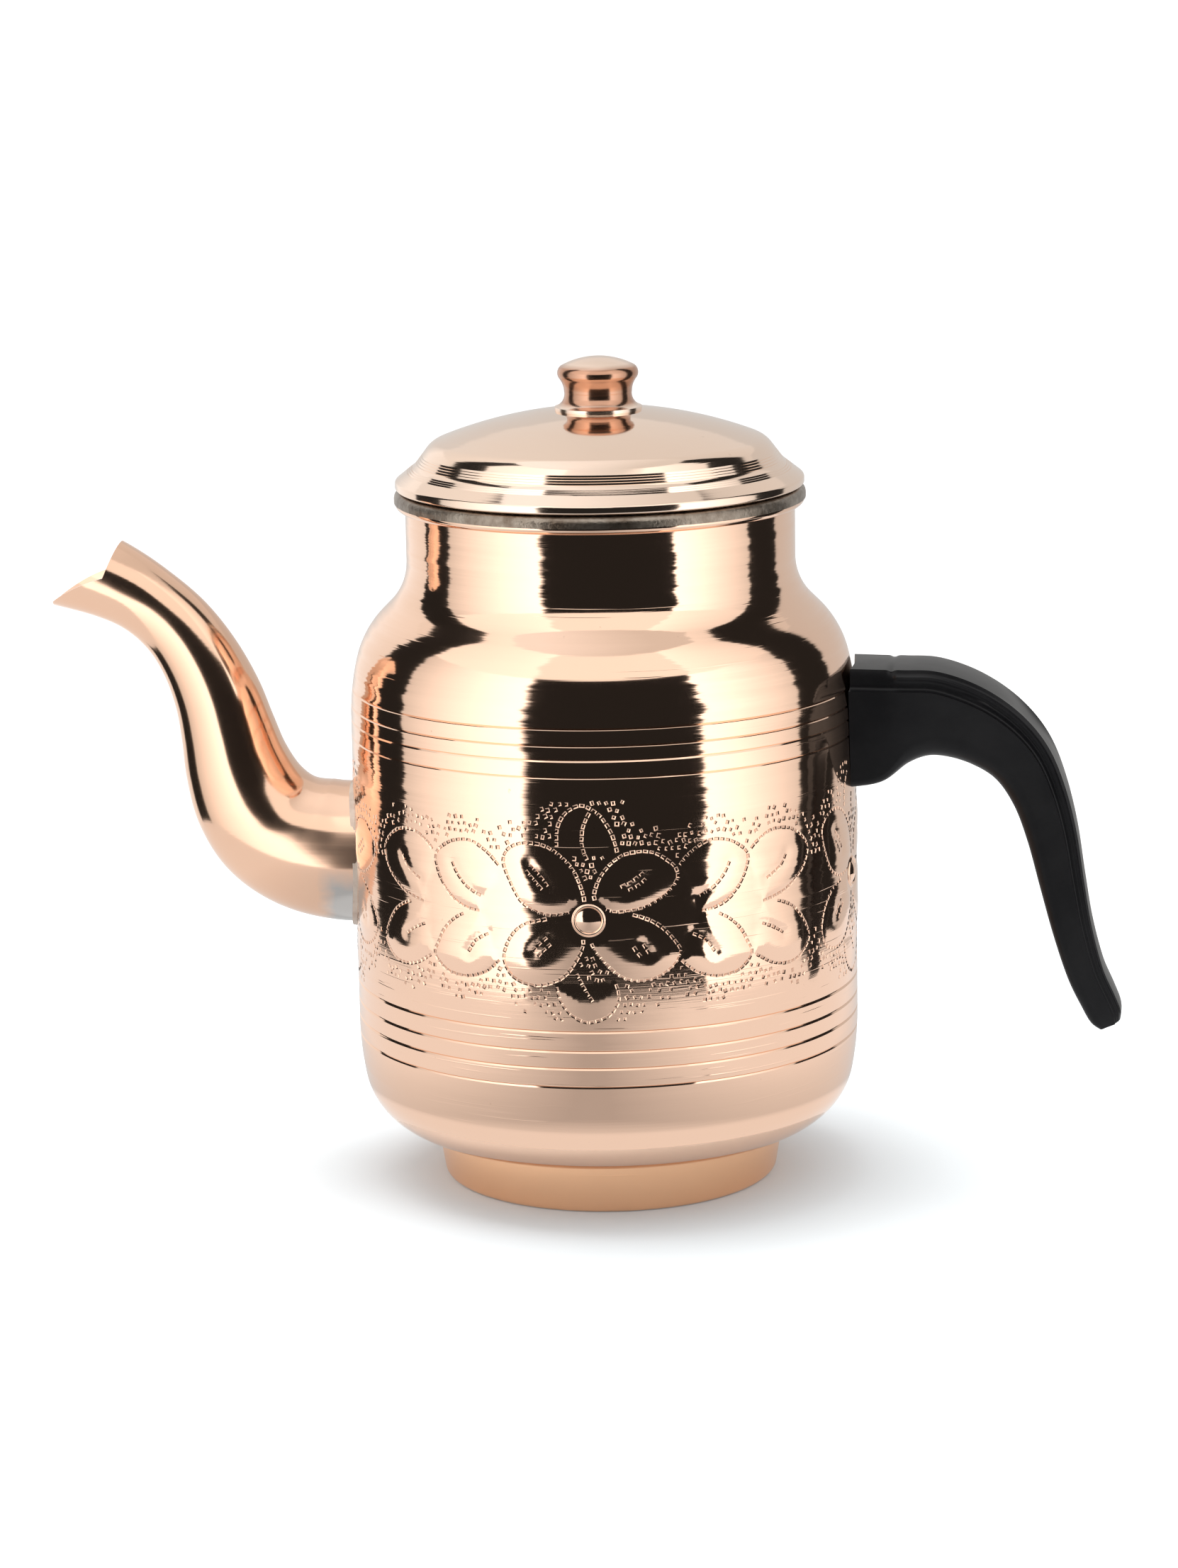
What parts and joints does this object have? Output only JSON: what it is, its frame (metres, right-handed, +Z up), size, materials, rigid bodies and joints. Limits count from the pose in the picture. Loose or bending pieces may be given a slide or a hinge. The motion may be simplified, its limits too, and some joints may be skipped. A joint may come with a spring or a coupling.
{
  "type": "lidded copper pot with spout and side handle",
  "caption": "Spun copper pot on a foot ring with an S spout, a chased flower band, a black moulded side handle and a lift-off lid with a knob.",
  "frame": {"origin": "centre of the foot's underside, on the vessel's axis", "axes": "+Z up, +X towards the handle, -X towards the spout"},
  "size_m": [0.308, 0.1452, 0.2382],
  "materials": {
    "copper": "spun and polished copper",
    "copper_foot": "satin copper",
    "copper_skirt": "satin copper",
    "tin": "wiped tin",
    "solder": "dull solder",
    "steel": "plated steel",
    "bakelite": "moulded phenolic"
  },
  "bodies": {
    "pot": {"body_shell": "copper", "tin_lining": "tin", "rim_wire": "steel", "foot_ring": "copper_foot", "foot_solder": "solder", "spout_tube": "copper", "spout_solder": "solder", "handle_plate": "steel", "handle_tang": "steel", "plate_rivets": "steel", "handle_grip": "bakelite", "handle_screw": "steel", "handle_nut": "steel"},
    "lid": {"lid_dome": "copper", "lid_lining": "tin", "lid_skirt": "copper_skirt", "skirt_solder": "solder", "knob": "copper", "knob_screw": "steel", "knob_washer": "steel"}
  },
  "joints": [
    {"name": "lid_lift", "type": "slide", "parent": "pot", "child": "lid", "axis": [0, 0, 1], "range_m": [0, 0.06]}
  ]
}
